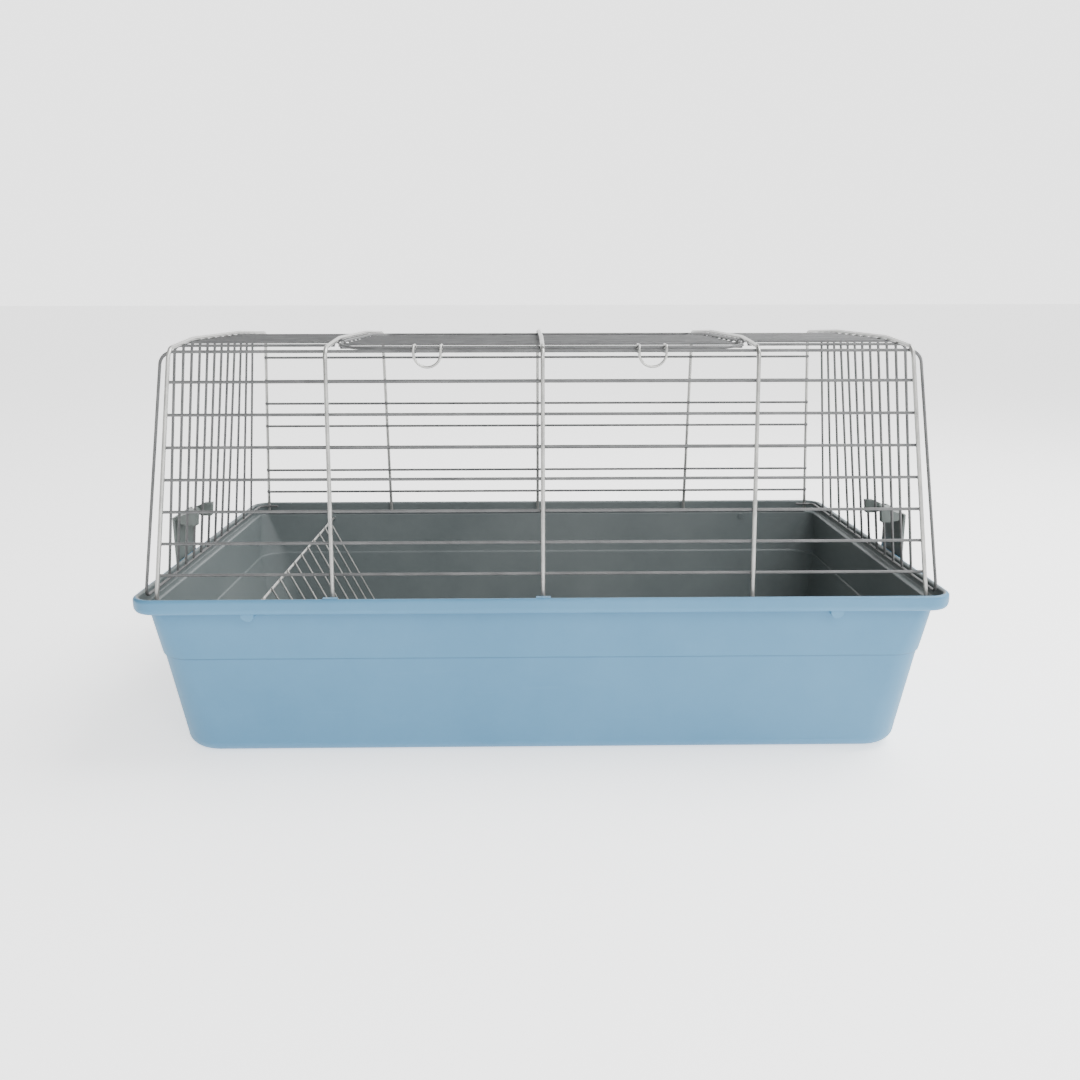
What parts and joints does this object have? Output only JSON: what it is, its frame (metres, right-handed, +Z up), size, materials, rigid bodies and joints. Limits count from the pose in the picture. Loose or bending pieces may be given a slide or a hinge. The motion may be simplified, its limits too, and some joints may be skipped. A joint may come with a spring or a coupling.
{
  "type": "wire small animal cage on plastic tray",
  "caption": "Wire-topped small animal cage on a deep plastic tray, with a hinged roof door, wire door clips, end latches and a slanted hay rack.",
  "frame": {"origin": "on the ground under the middle of the tray", "axes": "+X along the length, +Z up, the front with the door clips faces -Y"},
  "size_m": [0.8114, 0.48, 0.4205],
  "materials": {
    "tray_plastic": "satin",
    "light_wire": "satin",
    "grey_wire": "satin",
    "latch_plastic": "satin"
  },
  "bodies": {
    "tray": {"base_tray": "tray_plastic", "tray_feet": "tray_plastic", "retaining_tabs": "tray_plastic"},
    "wire_top": {"hoop_left_end": "light_wire", "hoop_left_inner": "light_wire", "hoop_centre": "light_wire", "hoop_right_inner": "light_wire", "hoop_right_end": "light_wire", "frame_wire": "grey_wire", "front_rails": "grey_wire", "back_rails": "grey_wire", "front_base_wire": "grey_wire", "back_base_wire": "grey_wire", "back_edge_wire": "grey_wire", "end_bars_left": "grey_wire", "end_bars_right": "grey_wire", "roof_wires_left": "grey_wire", "roof_wires_right": "grey_wire", "latch_bracket_left": "latch_plastic", "latch_bracket_right": "latch_plastic"},
    "roof_door": {"lid_frame": "grey_wire", "lid_wires": "grey_wire", "lid_centre_wire": "light_wire", "lid_hinge_rings": "grey_wire", "lid_corner_rings": "grey_wire"},
    "clip_left": {"door_clip_left": "light_wire"},
    "clip_right": {"door_clip_right": "light_wire"},
    "latch_left": {"latch_lever_left": "latch_plastic"},
    "latch_right": {"latch_lever_right": "latch_plastic"},
    "hay_rack": {"rack_frame": "light_wire", "rack_bars": "light_wire"}
  },
  "joints": [
    {"name": "wire_top_lift", "type": "slide", "parent": "tray", "child": "wire_top", "axis": [0, 0, 1], "range_m": [0, 0.25]},
    {"name": "roof_door_hinge", "type": "hinge", "parent": "wire_top", "child": "roof_door", "pos_m": [0, 0.19392, 0.406], "axis": [-1, 0, 0], "range_deg": [0, 100]},
    {"name": "clip_left_hinge", "type": "hinge", "parent": "roof_door", "child": "clip_left", "pos_m": [-0.109, -0.185, 0.4098], "axis": [-1, 0, 0], "range_deg": [0, 120]},
    {"name": "clip_right_hinge", "type": "hinge", "parent": "roof_door", "child": "clip_right", "pos_m": [0.1043, -0.185, 0.4098], "axis": [-1, 0, 0], "range_deg": [0, 120]},
    {"name": "latch_left_hinge", "type": "hinge", "parent": "wire_top", "child": "latch_left", "pos_m": [-0.39548, -0.04656, 0.219], "axis": [0, 1, 0], "range_deg": [-3, 35]},
    {"name": "latch_right_hinge", "type": "hinge", "parent": "wire_top", "child": "latch_right", "pos_m": [0.39548, -0.04656, 0.219], "axis": [0, -1, 0], "range_deg": [-3, 35]},
    {"name": "hay_rack_hinge", "type": "hinge", "parent": "tray", "child": "hay_rack", "pos_m": [-0.286, 0, 0.157], "axis": [0, 1, 0], "range_deg": [-180, 0]}
  ]
}
